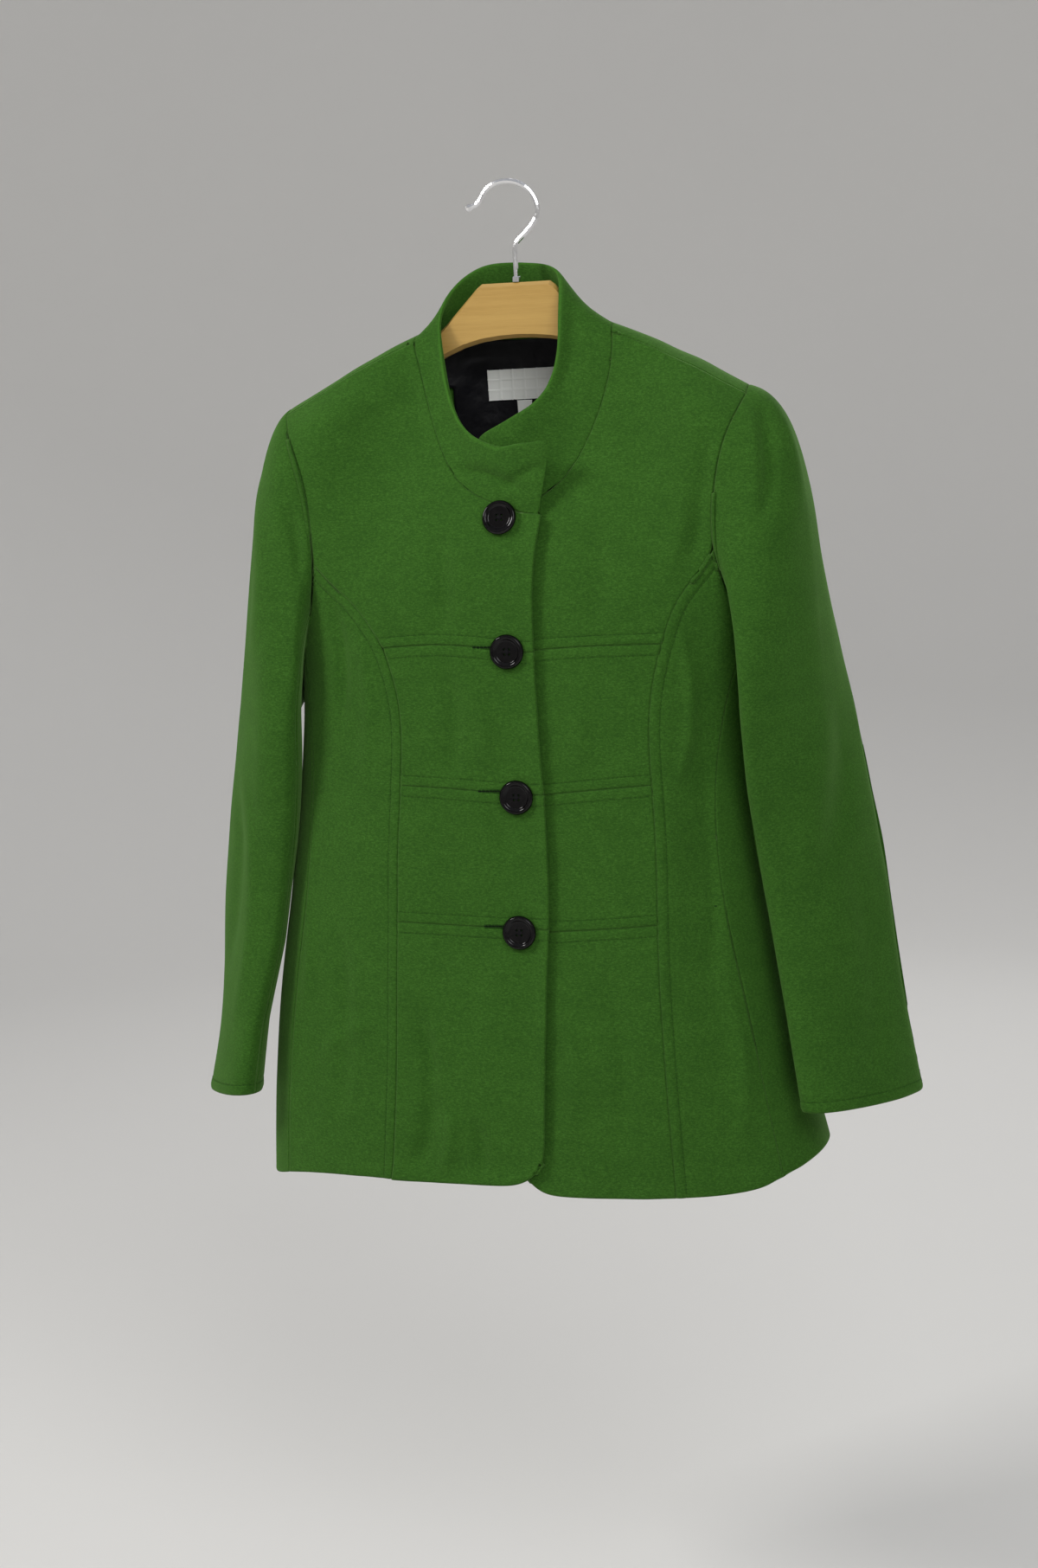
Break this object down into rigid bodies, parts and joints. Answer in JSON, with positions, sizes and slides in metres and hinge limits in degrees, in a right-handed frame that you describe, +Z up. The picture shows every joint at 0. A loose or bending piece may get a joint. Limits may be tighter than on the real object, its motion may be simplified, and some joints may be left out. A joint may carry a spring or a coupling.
{
  "type": "woollen coat on a wooden hanger",
  "caption": "Hip-length fitted melton coat with a stand collar, princess seams and dished buttons, hung closed on a flat wooden hanger with a wire hook.",
  "frame": {"origin": "underside of the hook's crown, where a rail carries the hanger", "axes": "+Z up; the coat's front faces -Y; the coat's own left side is +X"},
  "size_m": [0.6364, 0.2094, 0.8498],
  "materials": {
    "melton": "matt, milled woollen nap in melange green",
    "lining": "smooth black lining with a slight sheen",
    "label": "bare white satin",
    "button": "gloss black",
    "wood": "pale, thin satin lacquer",
    "steel": "bright plated"
  },
  "bodies": {
    "root": {"right_front_yoke": "melton", "right_front_upper_middle": "melton", "right_front_lower_middle": "melton", "right_front_skirt": "melton", "right_side_front": "melton", "right_back": "melton", "right_top_sleeve": "melton", "right_under_sleeve": "melton", "left_front_yoke": "melton", "left_front_upper_middle": "melton", "left_front_lower_middle": "melton", "left_front_skirt": "melton", "left_side_front": "melton", "left_back": "melton", "left_top_sleeve": "melton", "left_under_sleeve": "melton", "collar_outer": "melton", "collar_inner": "melton", "back_neck_lining": "lining", "label": "label", "size_tab": "label", "button_1": "button", "button_2": "button", "button_3": "button", "button_4": "button", "hanger_bar": "wood", "ferrule": "steel", "hook": "steel"}
  },
  "joints": []
}
